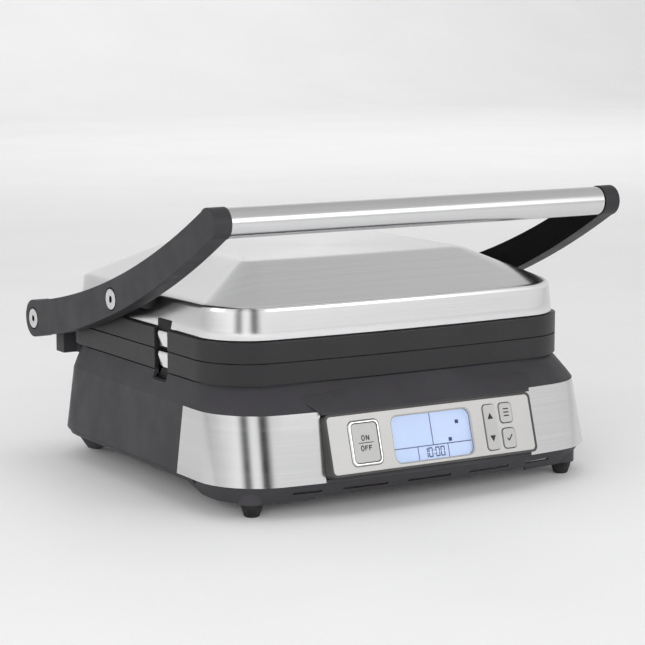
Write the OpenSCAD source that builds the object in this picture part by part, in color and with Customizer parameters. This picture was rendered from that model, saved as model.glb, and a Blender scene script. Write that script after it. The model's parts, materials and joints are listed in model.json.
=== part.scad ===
// Countertop contact grill with a floating lid: one hinged pair of arms carries the lid and
// the bar handle, and the base holds the heated lower plate and the sloping control panel.
// X runs across the front, +Y runs to the back and +Z runs up. The origin is on the table,
// under the middle of the whole appliance.

/* [Base] */
// Width of the base at its bottom edge
base_w = 314.4; // [313:0.2:315.4]
// From the middle to the front of the base, at its bottom edge
base_front = 156; // [155:0.2:156.6]
// From the middle to the back of the base, at its bottom edge
base_rear = 146.4; // [145.4:0.2:147]
// Height of the base's bottom edge above the table
base_z = 22.3; // [22:0.1:22.6]
// Height of the deck that the lower plate rests on
deck_z = 86; // [85.8:0.1:86.2]
// Wall thickness of the moulded housing
wall_t = 2.6; // [2.2:0.1:3]
// Thickness of the steel corner wraps
steel_t = 0.8; // [0.6:0.1:0.8]

/* [Control panel] */
// Width of the control panel
panel_w = 170.8; // [170:0.2:171.6]
// Height of the control panel, along its slope
panel_h = 42.8; // [42.4:0.1:43]
// Backward lean of the control panel, in degrees
panel_lean = 16.7; // [16:0.1:17.4]

/* [Plates] */
// Width of the two cooking plates
plate_w = 296; // [295:0.2:296.4]
// From the middle to the front of the plates
plate_front = 127.5; // [126.5:0.1:127.8]
// From the middle to the back of the plates
plate_rear = 130; // [129:0.1:130.2]
// Height of each plate's rim
plate_h = 15.5; // [15.3:0.1:15.6]
// Number of grill ribs on each plate
rib_count = 15; // [9:1:17]
// Height of the grill ribs
rib_h = 3; // [2:0.1:3.2]

/* [Lid] */
// Width of the lid's steel cover at its lower edge
lid_w = 290; // [289.4:0.2:290.4]
// Height of the soft edge where the lid's wall meets its slopes
crease_z = 138.6; // [138:0.1:139]
// Height of the flat top of the lid
lid_top_z = 163; // [162:0.1:164]
// Width of the flat top of the lid
lid_flat_w = 181; // [176:1:184]
// Sheet thickness of the lid's cover
cover_t = 1; // [0.8:0.1:1.2]

/* [Arms and handle] */
// Distance between the inner faces of the two arms
arm_gap = 306; // [305.8:0.1:306.4]
// Thickness of each arm
arm_t = 13.4; // [13.2:0.1:13.8]
// Radius of the curve that the arms follow
arm_bend_r = 790; // [760:5:830]
// Half the arm's height at the back pivot
arm_half_rear = 13.6; // [13.4:0.1:13.8]
// Half the arm's height at the handle
arm_half_front = 10.4; // [10.2:0.1:10.6]
// Diameter of the handle bar
handle_d = 20.4; // [20:0.1:20.6]

/* [Fasteners] */
// Radius of the pivot bolts' smooth shoulders
shoulder_r = 5; // [4.8:0.1:5.2]
// Radius of the pivot bolts' heads
bolt_head_r = 7.5; // [7.2:0.05:7.9]

/* [Hidden] */
$fn = 64;
tiny = 0.01;
far = 400;
running = 0.05;

// Heights where the base's wall changes its slope
steel_top_z = 69.3;
shoulder_z = 75;
// Each level of the base's wall: height, then how far it stands in at the side, front, back
base_levels = [
    [base_z, 0, 0, 0],
    [steel_top_z, 3.9, 9.1, 5.4],
    [shoulder_z, 5.6, 15.4, 6.9],
    [deck_z, 9.4, 28.5, 10.4]];
base_bow_r = 985;
base_corner_f = 46;
base_corner_r = 50;
wrap_pocket = 0.9;
// Back edge of the steel wraps, at their bottom and at their top
wrap_rear_low = -72.3;
wrap_rear_high = -75.1;

// Bottom cover: heights of its floor and of the front skirt's lower edge
cover_top_z = base_z - 0.1;
cover_floor_z = 18.6;
skirt_z = 9.3;
rear_pad_z = 4.4;
foot_x = 130;
foot_front_y = -128.5;
foot_rear_x = 124;
foot_rear_y = 127;
foot_top_r = 7.6;
foot_low_r = 5.3;
post_x = 144;
post_ys = [-55, 20, 78];

// Control panel: the middle of its face, in the housing's front wall
panel_y = -153.9;
panel_z = 47.15;
frame_depth = 14;
fascia_t = 1.4;
panel_r = 4;
fascia_w = panel_w - 3.6;
fascia_h = panel_h - 3.4;
front_wall = 1.6;
board_w = 10.4;
// Each opening in the panel: across, up, width, height, corner radius
lcd_at = [-0.4, -1, 65, 32, 5];
power_at = [-55.8, -0.2, 20.2, 26.8, 2.6];
ring_at = [-55.8, -0.2, 24.6, 30.8, 4];
rocker_at = [48.4, -0.5, 10.2, 31.8, 2.4];
menu_at = [62.4, 8.5, 10.4, 13.8, 2.4];
confirm_at = [62.4, -9.5, 10.4, 13.8, 2.4];
// Gap round each key, and round the power button's ring
key_gap = 0.6;

// Plates
plate_bow_r = 1600;
plate_corner_f = 42;
plate_corner_r = 27;
rim_t = 5;
web_t = 2.5;
flat_depth = 3.5;
rim_step = 0.4;
seam_z = deck_z + plate_h;
plate_gap = 0.1;
drain_y = 98;
rib_pitch = 16;

// Lid
lid_z = seam_z + plate_h;
lid_front = plate_front - 3.4;
lid_rear = plate_rear - 4.6;
lid_corner_f = 39;
lid_corner_r = 27;
lid_flat_front = 58.5;
lid_flat_rear = 80;
lid_flat_corner = 12;
frame_z = lid_z - 0.7;
frame_t = 2.6;

// Latches on the left side, which release the plates
latch_y = -32.3;
latch_w = 19.4;
latch_in = 16 - plate_w/2;
latch_face = plate_w/2 - 2.4;
latch_back = 6.5 - latch_face;

// Arms: the two pivots and the handle bar, front-to-back and up
arm_in = arm_gap/2;
arm_out = arm_in + arm_t;
rear_pivot = [145.9, 102.4];
lid_pivot = [9.2, 133.4];
handle_at = [-135.5, 199.4];
rear_cap_r = 14.2;
handle_cap_r = 10.9;
chord = handle_at - rear_pivot;
chord_len = norm(chord);
chord_angle = atan2(chord[1], -chord[0]);
half_bend = asin(chord_len/2/arm_bend_r);
bend_centre = (rear_pivot + handle_at)/2
    + arm_bend_r*cos(half_bend)*[sin(chord_angle), cos(chord_angle)];
arm_steps = 22;

// Pivot bolts
head_t = 3.2;
head_proud = 0.4;
socket_r = 2.7;
socket_depth = 1.8;
washer_in = arm_in - 1.4;
washer_out = arm_in - 0.1;
bracket_in = 112;
bracket_out = arm_in - 5;
bracket_z = 76;
bracket_top_z = 85.5;
bracket_front = 125;
bracket_rear = 145.2;
bracket_screw_at = [[118, 130], [127, 128]];
ear_in = 136;
ear_front = 131.4;
ear_r = 12.6;
thread_r = 3.5;

// Drip tray, which slides out of the back
tray_w = 150;
tray_front_y = 40;
tray_z = 23;
tray_h = 16;
tray_t = 1.8;

// Heating elements: tube radius, the two legs' places and where their bends start
tube_r = 3.5;
leg_outer = 95;
leg_inner = 35;
bend_front_y = -56;
bend_rear_y = 50;
leg_rear_y = 78;

charcoal = [0.27, 0.27, 0.29];
black = [0.12, 0.12, 0.13];
steel = [0.78, 0.78, 0.79];
silver = [0.86, 0.86, 0.85];
iron = [0.2, 0.2, 0.21];

// ---- outlines and shared shapes ----

function arc(c, r, a0, a1, n) =
    [for (i = [0:n]) [c[0] + r*cos(a0 + (a1 - a0)*i/n), c[1] + r*sin(a0 + (a1 - a0)*i/n)]];

// The points of a list without its first and last
function inside_of(pts) = [for (i = [1:len(pts) - 2]) pts[i]];

// Outline with straight sides, round corners and a front edge bowed to radius rb
function bowed(hw, front, rear, rf, rr, rb, n = 8) =
    let (cy = rb - front,
         phi = asin((hw - rf)/(rb - rf)),
         yc = cy - sqrt(pow(rb - rf, 2) - pow(hw - rf, 2)))
    concat(
        arc([-hw + rf, yc], rf, 180, 270 - phi, n),
        inside_of(arc([0, cy], rb, 270 - phi, 270 + phi, 2*n)),
        arc([hw - rf, yc], rf, 270 + phi, 360, n),
        arc([hw - rr, rear - rr], rr, 0, 90, n),
        arc([-hw + rr, rear - rr], rr, 90, 180, n));

function base_outline(level, inset) =
    bowed(base_w/2 - level[1] - inset, base_front - level[2] - inset,
        base_rear - level[3] - inset, base_corner_f - inset, base_corner_r - inset, base_bow_r);

function plate_outline(inset) =
    bowed(plate_w/2 - inset, plate_front - inset, plate_rear - inset,
        max(plate_corner_f - inset, 4), max(plate_corner_r - inset, 4), plate_bow_r);

function lid_outline(inset) =
    bowed(lid_w/2 - inset, lid_front - inset, lid_rear - inset,
        lid_corner_f - inset, lid_corner_r - inset, plate_bow_r);

function flat_outline(inset) =
    bowed(lid_flat_w/2 - inset, lid_flat_front - inset, lid_flat_rear - inset,
        lid_flat_corner, lid_flat_corner, plate_bow_r);

// A point of the arm, at a slope along its curve and at an offset below its middle line
function arm_point(slope, offset) =
    bend_centre - (arm_bend_r + offset)*[sin(slope), cos(slope)];

function arm_slope(i) = chord_angle - half_bend + 2*half_bend*i/arm_steps;

function arm_half(i) = arm_half_rear + (arm_half_front - arm_half_rear)*i/arm_steps;

module prism(z0, z1, pts) {
    translate([0, 0, z0])
        linear_extrude(z1 - z0)
            polygon(pts);
}

module along_x(x0, x1) {
    translate([x0, 0, 0])
        rotate([90, 0, 90])
            linear_extrude(x1 - x0)
                children();
}

module both_sides() {
    children();
    mirror([1, 0, 0])
        children();
}

module rod_x(x0, x1, y, z, r) {
    translate([x0, y, z])
        rotate([0, 90, 0])
            cylinder(h = x1 - x0, r = r);
}

module post(x, y, z0, z1, r) {
    translate([x, y, z0])
        cylinder(h = z1 - z0, r = r);
}

module block(x0, x1, y0, y1, z0, z1) {
    translate([x0, y0, z0])
        cube([x1 - x0, y1 - y0, z1 - z0]);
}

// Rectangle with round corners, about its middle
module round_rect(w, h, r) {
    square([w - 2*r, h], center = true);
    square([w, h - 2*r], center = true);
    for (x = [-1, 1])
        for (y = [-1, 1])
            translate([x*(w/2 - r), y*(h/2 - r)])
                circle(r);
}

// Local frame of the control panel: X across, Y up its slope and Z out of its face
module on_panel() {
    translate([0, panel_y, panel_z])
        rotate([90 - panel_lean, 0, 0])
            children();
}

// A round-cornered block in the panel's frame, at an opening's place and grown by more
module panel_block(at, more, w0, w1) {
    translate([at[0], at[1], w0])
        linear_extrude(w1 - w0)
            round_rect(at[2] + 2*more, at[3] + 2*more, at[4] + more);
}

// Solid through levels, each [height, outline], whose outlines have equal numbers of points
module loft(levels) {
    n = len(levels[0][1]);
    last = (len(levels) - 1)*n;
    points = [for (level = levels) for (p = level[1]) [p[0], p[1], level[0]]];
    sides = [for (j = [0:n:last - n]) for (i = [0:n - 1])
        let (a = j + i, b = j + (i + 1)%n)
        each [[a, a + n, b + n], [a, b + n, b]]];
    ends = [[for (i = [0:n - 1]) i], [for (i = [n - 1:-1:0]) last + i]];
    polyhedron(points, concat(ends, sides));
}

// The base's whole outer form, moved in by inset and carried down by down
module base_form(inset, down) {
    loft(concat(
        down > 0 ? [[base_z - down, base_outline(base_levels[0], inset)]] : [],
        [for (level = base_levels) [level[0], base_outline(level, inset)]]));
}

// Where a steel wrap lies: the front corner, beside the control panel
module wrap_region(more) {
    along_x(panel_w/2 + 0.3 - more, far)
        polygon([[-far, base_z - 1], [wrap_rear_low + more, base_z - 1],
            [wrap_rear_high + more, steel_top_z + more], [-far, steel_top_z + more]]);
}

module steel_wrap() {
    color(steel)
    intersection() {
        wrap_region(0);
        difference() {
            base_form(0, 0);
            base_form(steel_t, 1);
        }
    }
}

module element(z) {
    translate([0, 0, z]) {
        for (side = [-1, 1]) {
            for (leg = [[leg_outer, leg_rear_y], [leg_inner, bend_rear_y]])
                translate([side*leg[0], bend_front_y, 0])
                    rotate([-90, 0, 0])
                        cylinder(h = leg[1] - bend_front_y, r = tube_r);
            translate([side*(leg_outer + leg_inner)/2, bend_front_y, 0])
                rotate([0, 0, 180])
                    rotate_extrude(angle = 180)
                        translate([(leg_outer - leg_inner)/2, 0])
                            circle(tube_r);
            translate([side*leg_outer, leg_rear_y, 0])
                rotate([-90, 0, 0])
                    cylinder(h = 12, r = tube_r + 0.3);
        }
        translate([0, bend_rear_y, 0])
            rotate_extrude(angle = 180)
                translate([leg_inner, 0])
                    circle(tube_r);
    }
}

// A flanged tray of thin sheet, open towards the plate it heats
module heat_pan(flange_z, depth, drain_r) {
    pan_floor = flange_z - depth;
    difference() {
        union() {
            prism(flange_z, flange_z + 1.4, plate_outline(8.4));
            prism(pan_floor, flange_z + 0.5, plate_outline(18));
        }
        prism(pan_floor + 1, flange_z + 2, plate_outline(19));
        latch_notch(0.2, 0, far);
        post(0, drain_y, pan_floor - 1, flange_z + 2, drain_r);
        post(0, 0, pan_floor - 1, flange_z, 4.2);
    }
}

// One cast plate, h high: rim, web, grill ribs on its upper side and a flat griddle underneath.
// Its outer wall steps in at the bottom by low_step and along its rim, where it meets its twin.
module cooking_plate(h, low_step) {
    web_low = flat_depth;
    web_high = flat_depth + web_t;
    difference() {
        union() {
            difference() {
                union() {
                    prism(0, low_step + tiny, plate_outline(1.8));
                    prism(low_step, h - rim_step, plate_outline(0));
                    prism(h - rim_step - tiny, h, plate_outline(1.6));
                }
                prism(web_high, h + 1, plate_outline(rim_t));
                prism(-1, web_low, plate_outline(rim_t));
            }
            // Wall round the latch's notch
            block(-plate_w/2 + 1.8, latch_in + 4, latch_y - latch_w/2 - 4, latch_y + latch_w/2 + 4,
                0, h);
            intersection() {
                difference() {
                    prism(web_high - 1, h, plate_outline(rim_t + 4));
                    latch_notch(7, 0, far);
                }
                for (i = [0:rib_count - 1])
                    translate([(i - (rib_count - 1)/2)*rib_pitch, far/2, web_high - tiny])
                        rotate([90, 0, 0])
                            linear_extrude(far)
                                polygon([[-3.4, 0], [3.4, 0], [1.3, rib_h], [-1.3, rib_h]]);
            }
        }
        post(0, drain_y, -1, h, 3.6);
        latch_notch(0.2, -1, h + 1);
    }
}

// The space that a latch takes at the left side, grown by more
module latch_notch(more, z0, z1) {
    block(-far, latch_in + more, latch_y - latch_w/2 - more, latch_y + latch_w/2 + more, z0, z1);
}

// A coil spring's sleeve: the space that its turns fill
module coil_spring(length, coil_r, wire_r) {
    difference() {
        cylinder(h = length, r = coil_r + wire_r);
        translate([0, 0, -1])
            cylinder(h = length + 2, r = coil_r - wire_r);
    }
}

module pivot_bolt(at, shoulder_end, thread_end, r) {
    outer = arm_out + head_proud;
    difference() {
        union() {
            rod_x(outer - head_t, outer, at[0], at[1], bolt_head_r);
            rod_x(shoulder_end, outer - head_t, at[0], at[1], shoulder_r);
            rod_x(thread_end, shoulder_end, at[0], at[1], r);
        }
        translate([outer - socket_depth, at[0], at[1]])
            rotate([0, 90, 0])
                cylinder(h = socket_depth + 1, r = socket_r, $fn = 6);
    }
}

module cross_screw(x, y, z0, z1, r, head_r) {
    difference() {
        union() {
            post(x, y, z0, z1, r);
            post(x, y, z0, z0 + 1.6, head_r);
        }
        for (turn = [0, 90])
            translate([x, y, z0])
                rotate([0, 0, turn])
                    cube([head_r*1.3, 0.8, 1.8], center = true);
    }
}

module foot() {
    rotate_extrude()
        polygon([[0, 0], [foot_low_r - 0.8, 0], [foot_low_r, 0.8], [foot_top_r, skirt_z - 1],
            [foot_top_r, skirt_z - 0.1], [2.9, skirt_z - 0.1], [2.9, skirt_z + 5], [0, skirt_z + 5]]);
}

// ---- base ----

module base_housing() {
    color(charcoal)
    difference() {
        union() {
            difference() {
                base_form(0, 0);
                difference() {
                    intersection() {
                        base_form(wall_t, 2);
                        block(-far, far, -far, far, 0, deck_z - 3);
                    }
                    // Solid shoulders under the hinge brackets
                    both_sides()
                        block(108, far, 114, far, 62, far);
                }
            }
            brow();
            both_sides()
                for (y = post_ys) {
                    post(post_x, y, base_z + 0.1, 50, 4.5);
                    block(post_x, 153.6, y - 1.5, y + 1.5, base_z + 0.1, 50);
                }
        }
        // Recesses for the steel wraps
        both_sides()
            difference() {
                wrap_region(0.22);
                base_form(wrap_pocket, 2);
            }
        on_panel()
            block(-panel_w/2 - 0.15, panel_w/2 + 0.15, -panel_h/2 - 0.15, panel_h/2 + 0.1,
                -frame_depth - 1, 12);
        // Opening for the heat pan, with a rebate for its flange
        prism(deck_z - 5, deck_z + 1, plate_outline(17.6));
        prism(deck_z - 1.6, deck_z + 1, plate_outline(8.2));
        both_sides() {
            block(bracket_in - 0.1, ear_in + 1.1, bracket_front - 0.1, far, bracket_z - 0.1, far);
            block(ear_in, far, ear_front - 0.1, far, bracket_z - 0.1, far);
            for (at = bracket_screw_at)
                post(at[0], at[1], 50, far, 2.1);
            for (y = post_ys)
                post(post_x, y, 0, 40, 1.6);
        }
        // Slot for the drip tray, and the hole for the cord gland
        block(-tray_w/2 - 0.5, tray_w/2 + 0.5, 100, far, 0, tray_z + tray_h + 0.6);
        translate([-94, 100, 36])
            rotate([-90, 0, 0])
                cylinder(h = far, r = 6.1);
        latch_notch(0.2, 79.9, far);
    }
}

// The part of the deck that reaches forward over the control panel
module brow() {
    front_y = panel_y + panel_h/2*sin(panel_lean) - 0.3;
    front_z = panel_z + panel_h/2*cos(panel_lean) + 0.2;
    hull() {
        block(-panel_w/2, panel_w/2, front_y, front_y + 8, front_z, front_z + 1.2);
        block(-panel_w/2 - 10, panel_w/2 + 10, -133, -130, 77, 78.2);
        block(-50, 50, -131, -128, 78, 82.2);
    }
}

module base_bottom_cover() {
    color(black)
    difference() {
        union() {
            loft([[cover_floor_z, base_outline(base_levels[0], 6)],
                [cover_top_z, base_outline(base_levels[0], 2.2)]]);
            intersection() {
                difference() {
                    deep_form(skirt_z, 10.5, 2);
                    deep_form(skirt_z - 1, 14, 4.2);
                }
                along_x(-far, far)
                    polygon([[-far, 0], [-104, 0], [-76, cover_floor_z], [-60, cover_floor_z],
                        [-60, far], [-far, far]]);
            }
            both_sides() {
                post(foot_x, foot_front_y, skirt_z, cover_floor_z + 1, 9.5);
                post(foot_rear_x, foot_rear_y, skirt_z, cover_floor_z + 1, 10.5);
            }
            // Low band round the sides and the back
            intersection() {
                loft([[cover_floor_z, base_outline(base_levels[0], 2.6)],
                    [cover_top_z - 0.8, base_outline(base_levels[0], 1.4)]]);
                block(-far, far, -92, far, 0, far);
            }
            // The rear corners slope down round their feet
            intersection() {
                loft([[rear_pad_z, base_outline(base_levels[0], 15.5)],
                    [cover_top_z, base_outline(base_levels[0], 2.2)]]);
                both_sides()
                    post(foot_rear_x, foot_rear_y, 0, 22, 21);
            }
        }
        both_sides()
            post(foot_rear_x, foot_rear_y, 0, skirt_z, foot_top_r + 0.3);
        // The skirt's lower edge is higher in the middle, and has five slots
        block(-88, 88, -far, -120, 0, skirt_z + 2.2);
        for (slot = [[-107, -85], [-69, -34], [-18, 18], [34, 69], [85, 107]])
            block(slot[0], slot[1], -far, -138, 14.8, 16.6);
        both_sides() {
            post(foot_x, foot_front_y, 0, skirt_z + 5.2, 3);
            post(foot_rear_x, foot_rear_y, 0, skirt_z + 5.2, 3);
            for (y = post_ys) {
                post(post_x, y, 0, 30, 1.8);
                post(post_x, y, 0, cover_floor_z + 1.8, 3.3);
            }
        }
        // Rows of cooling slots under the boards
        for (i = [0:5])
            block(-60, 60, -70 + 12*i, -66 + 12*i, 0, 30);
    }
}

module deep_form(z, inset_low, inset_top) {
    loft([[z, base_outline(base_levels[0], inset_low)],
        [cover_top_z, base_outline(base_levels[0], inset_top)]]);
}

module front_feet() {
    color(black)
    both_sides()
        translate([foot_x, foot_front_y, 0])
            foot();
}

module rear_feet() {
    color(black)
    both_sides()
        translate([foot_rear_x, foot_rear_y, 0])
            foot();
}

module base_screws() {
    color(steel)
    both_sides()
        for (y = post_ys)
            cross_screw(post_x, y, cover_floor_z + 0.1, 36, 1.5, 3);
}

module steel_wrap_left() {
    mirror([1, 0, 0])
        steel_wrap();
}

module steel_wrap_right() {
    steel_wrap();
}

// ---- control panel ----

module control_housing() {
    inner_w = panel_w - 6;
    inner_h = panel_h - 6;
    color(charcoal)
    on_panel()
        difference() {
            union() {
                difference() {
                    translate([0, 0, -frame_depth])
                        linear_extrude(frame_depth)
                            round_rect(panel_w, panel_h, panel_r);
                    block(-inner_w/2, inner_w/2, -inner_h/2, inner_h/2,
                        -frame_depth - 1, -fascia_t - 0.2 - front_wall);
                }
                for (u = [-1, 1])
                    translate([rocker_at[0] + u*7.3, rocker_at[1], -5])
                        cube([2, 3.8, 4], center = true);
            }
            // Pocket for the fascia
            translate([0, 0, -fascia_t - 0.2])
                linear_extrude(far)
                    round_rect(fascia_w + 0.2, fascia_h + 0.2, panel_r - 1);
            panel_block(lcd_at, 0.2, -far, far);
            panel_block(power_at, 0.3, -far, far);
            panel_block(rocker_at, 0.4, -3.4, far);
            panel_block(menu_at, 0.3, -far, far);
            panel_block(confirm_at, 0.3, -far, far);
            translate([rocker_at[0], rocker_at[1], -3.4])
                cube([7, 27, 6], center = true);
            rod_x(rocker_at[0] - 9, rocker_at[0] + 9, rocker_at[1], -4.8, 1.03);
        }
}

module control_fascia() {
    color(silver)
    on_panel()
        difference() {
            translate([0, 0, -fascia_t - 0.1])
                linear_extrude(fascia_t)
                    round_rect(fascia_w, fascia_h, panel_r - 1.1);
            panel_block(lcd_at, 0, -far, far);
            // Bevel round the display
            hull() {
                panel_block(lcd_at, 0, -1, -0.9);
                panel_block(lcd_at, 1.1, 0, 0.1);
            }
            panel_block(ring_at, key_gap - 0.2, -far, far);
            panel_block(rocker_at, key_gap, -far, far);
            panel_block(menu_at, key_gap, -far, far);
            panel_block(confirm_at, key_gap, -far, far);
        }
}

module power_button_ring() {
    color(steel)
    on_panel()
        difference() {
            hull() {
                panel_block(ring_at, 0, -fascia_t - 0.1, 0.1);
                panel_block(ring_at, -0.7, -fascia_t - 0.1, 0.8);
            }
            panel_block(power_at, 0.5, -far, far);
        }
}

// A push button with a flange behind the panel and a stem over its switch
module push_button(at, proud) {
    on_panel() {
        panel_block(at, 0, -4.6, proud);
        panel_block(at, 1.2, -4.6, -3.4);
        translate([at[0], at[1], -6.2])
            cylinder(h = 2, r = 2);
    }
}

module power_button() {
    color(silver)
        push_button(power_at, 0.6);
}

module menu_button() {
    color(silver)
        push_button(menu_at, 0.8);
}

module confirm_button() {
    color(silver)
        push_button(confirm_at, 0.8);
}

module rocker_button() {
    color(silver)
    on_panel()
        difference() {
            union() {
                panel_block(rocker_at, 0, -2.6, 0.8);
                rod_x(rocker_at[0] - 2.5, rocker_at[0] + 2.5, rocker_at[1], -4.8, 2.2);
                translate([rocker_at[0], rocker_at[1], -3.4])
                    cube([5, 4.4, 2.4], center = true);
                for (v = [-9.5, 9.5])
                    translate([rocker_at[0], rocker_at[1] + v, -6.2])
                        cylinder(h = 4, r = 1.3);
            }
            rod_x(rocker_at[0] - 9, rocker_at[0] + 9, rocker_at[1], -4.8, 1 + running);
        }
}

module rocker_pin() {
    color(steel)
    on_panel()
        rod_x(rocker_at[0] - 8.4, rocker_at[0] + 8.4, rocker_at[1], -4.8, 1);
}

module lcd_window() {
    color([0.8, 0.88, 0.95, 0.4])
    on_panel()
        panel_block(lcd_at, -0.1, -3, -1.8);
}

module lcd_module() {
    color([0.76, 0.84, 0.94])
    on_panel()
        translate([lcd_at[0], lcd_at[1], -8])
            linear_extrude(4.6)
                square([66, 33], center = true);
}

module control_board() {
    color([0.1, 0.35, 0.2])
    on_panel()
        translate([0, 0, -board_w - 1.6])
            linear_extrude(1.6)
                square([panel_w - 10, panel_h - 8], center = true);
}

module key_switches() {
    color(black)
    on_panel()
        for (at = [[power_at[0], power_at[1]], [menu_at[0], menu_at[1]],
            [confirm_at[0], confirm_at[1]], [rocker_at[0], rocker_at[1] + 9.5],
            [rocker_at[0], rocker_at[1] - 9.5]])
            translate([at[0], at[1], -board_w]) {
                linear_extrude(2.2)
                    square(6, center = true);
                cylinder(h = 2.7, r = 1.5);
            }
}

module power_board() {
    color([0.1, 0.35, 0.2])
        block(-110, -20, -110, -20, 28, 29.6);
}

// Relays, capacitor and the board's four standoffs
module power_board_parts() {
    color(black) {
        for (i = [0, 1])
            block(-100 + 26*i, -80 + 26*i, -60, -40, 29.6, 45);
        post(-40, -90, 29.6, 50, 8);
        block(-104, -64, -104, -88, 29.6, 40);
        for (x = [-105, -25])
            for (y = [-105, -25])
                post(x, y, cover_top_z, 28, 3);
    }
}

module cord_gland() {
    color(black)
    translate([-94, 0, 36])
        rotate([-90, 0, 0])
            difference() {
                union() {
                    translate([0, 0, 134])
                        cylinder(h = 16, r = 6);
                    translate([0, 0, 146.4])
                        cylinder(h = 3.6, r = 9);
                    translate([0, 0, 134])
                        cylinder(h = 3, r = 8);
                }
                cylinder(h = far, r = 3.8);
            }
}

// ---- lower plate, its heater and the drip tray ----

module lower_plate() {
    color(iron)
    translate([0, 0, deck_z])
        cooking_plate(plate_h, 1);
}

module lower_heat_pan() {
    color(steel)
        heat_pan(deck_z - 1.5, 14, 9);
}

module lower_heating_element() {
    color(iron)
        element(deck_z - 0.4);
}

module lower_sensor() {
    color(steel)
        post(0, 0, deck_z - 24, deck_z + flat_depth - 0.2, 4);
}

module grease_chute() {
    color(iron)
    difference() {
        union() {
            post(0, drain_y, tray_z + tray_h + 1.2, deck_z + flat_depth - 0.2, 8.5);
            post(0, drain_y, deck_z - 20, deck_z - 18, 14);
        }
        post(0, drain_y, 0, far, 7);
    }
}

module drip_tray() {
    back_y = base_rear - 0.4;
    color(black)
    difference() {
        union() {
            block(-tray_w/2, tray_w/2, tray_front_y, back_y - 3, tray_z, tray_z + tray_h);
            along_x(-tray_w/2, tray_w/2)
                polygon([[back_y - 5, tray_z], [back_y, tray_z],
                    [back_y - tray_h*0.115, tray_z + tray_h], [back_y - 5, tray_z + tray_h]]);
        }
        block(-tray_w/2 + tray_t, tray_w/2 - tray_t, tray_front_y + tray_t, back_y - 14,
            tray_z + tray_t, far);
        // Finger recess in the back face
        block(-30, 30, back_y - 11, far, tray_z + 4, tray_z + 12);
    }
}

module latch_housing(z0, z1, button_z0, button_z1) {
    color(black)
    difference() {
        union() {
            block(-latch_face + 0.4, latch_in, latch_y - latch_w/2 + 0.1,
                latch_y + latch_w/2 - 0.1, z0, z1);
            children();
        }
        block(-far, latch_in - 1.6, latch_y - 7.2, latch_y + 7.2,
            button_z0 - 0.3, button_z1 + 0.3);
    }
}

// The wedge-faced button, and a spigot that centres its spring
module latch_button(z0, z1) {
    color(silver) {
        rotate([90, 0, 0])
            translate([0, 0, -latch_y - 6.9])
                linear_extrude(13.8)
                    polygon([[latch_back, z0], [-latch_face + 0.6, z0],
                        [-latch_face - 1.2, z1 - 2.4], [-latch_face - 0.4, z1],
                        [latch_back, z1]]);
        rod_x(latch_back, latch_back + 1, latch_y, (z0 + z1)/2, 1.8);
    }
}

module latch_spring(z) {
    color(steel)
    translate([latch_back + 0.1, latch_y, z])
        rotate([0, 90, 0])
            coil_spring(5.3, 3, 0.45);
}

module lower_latch_housing() {
    latch_housing(80, seam_z - 0.4, 88.4, 100)
        block(-plate_w/2 - 1.6, -latch_face + 1, latch_y - latch_w/2 + 0.1,
            latch_y + latch_w/2 - 0.1, 80, 81.4);
}

module lower_latch_button() {
    latch_button(88.4, 100);
}

module lower_latch_spring() {
    latch_spring(94.2);
}

// ---- hinges ----

module hinge_bracket() {
    color(charcoal)
    difference() {
        union() {
            block(bracket_in, ear_in + 1, bracket_front, bracket_rear, bracket_z, bracket_top_z);
            along_x(ear_in, bracket_out) {
                polygon([[ear_front, bracket_z], [bracket_rear, bracket_z], [bracket_rear, 89],
                    [rear_pivot[0] + ear_r - 2, rear_pivot[1] - 6], [rear_pivot[0], rear_pivot[1]],
                    [rear_pivot[0] - ear_r, rear_pivot[1]], [ear_front, rear_pivot[1] - 4]]);
                translate(rear_pivot)
                    circle(ear_r);
            }
            rod_x(bracket_out - 1, washer_in - 0.1, rear_pivot[0], rear_pivot[1], 9.5);
        }
        rod_x(0, far, rear_pivot[0], rear_pivot[1], thread_r + running);
        for (at = bracket_screw_at)
            post(at[0], at[1], 0, bracket_top_z - 0.8, 1.7);
    }
}

module hinge_bracket_right() {
    hinge_bracket();
}

module hinge_bracket_left() {
    mirror([1, 0, 0])
        hinge_bracket();
}

module bracket_screws() {
    color(steel)
    both_sides()
        for (at = bracket_screw_at)
            cross_screw(at[0], at[1], 60, bracket_z + 6, 1.6, 3.4);
}

module rear_pivot_bolts() {
    color(steel)
    both_sides()
        pivot_bolt(rear_pivot, washer_in - 0.1, ear_in + 2, thread_r);
}

module hinge_washers() {
    color([0.85, 0.85, 0.8])
    both_sides()
        difference() {
            rod_x(washer_in, washer_out, rear_pivot[0], rear_pivot[1], 9);
            rod_x(0, far, rear_pivot[0], rear_pivot[1], shoulder_r + running);
        }
}

// ---- arms and handle ----

module arm_profile() {
    polygon(concat(
        [for (i = [0:arm_steps]) arm_point(arm_slope(i), -arm_half(i))],
        [for (i = [arm_steps:-1:0]) arm_point(arm_slope(i), arm_half(i))]));
    translate(rear_pivot)
        circle(rear_cap_r);
    translate(handle_at)
        circle(handle_cap_r);
}

module arm() {
    difference() {
        along_x(arm_in, arm_out)
            arm_profile();
        for (at = [rear_pivot, lid_pivot]) {
            rod_x(0, far, at[0], at[1], shoulder_r + running);
            rod_x(arm_out + head_proud - head_t - 0.2, far, at[0], at[1], bolt_head_r + 0.85);
        }
        rod_x(0, arm_in + 9, handle_at[0], handle_at[1], 8.05);
    }
}

module arm_left() {
    color(charcoal)
    mirror([1, 0, 0])
        arm();
}

// The right arm also has a pocket for the hinge release slider
module arm_right() {
    color(charcoal)
    difference() {
        arm();
        release_place()
            block(-14, 14, -5.2, 5.2, -4.2, 5);
    }
}

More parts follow.
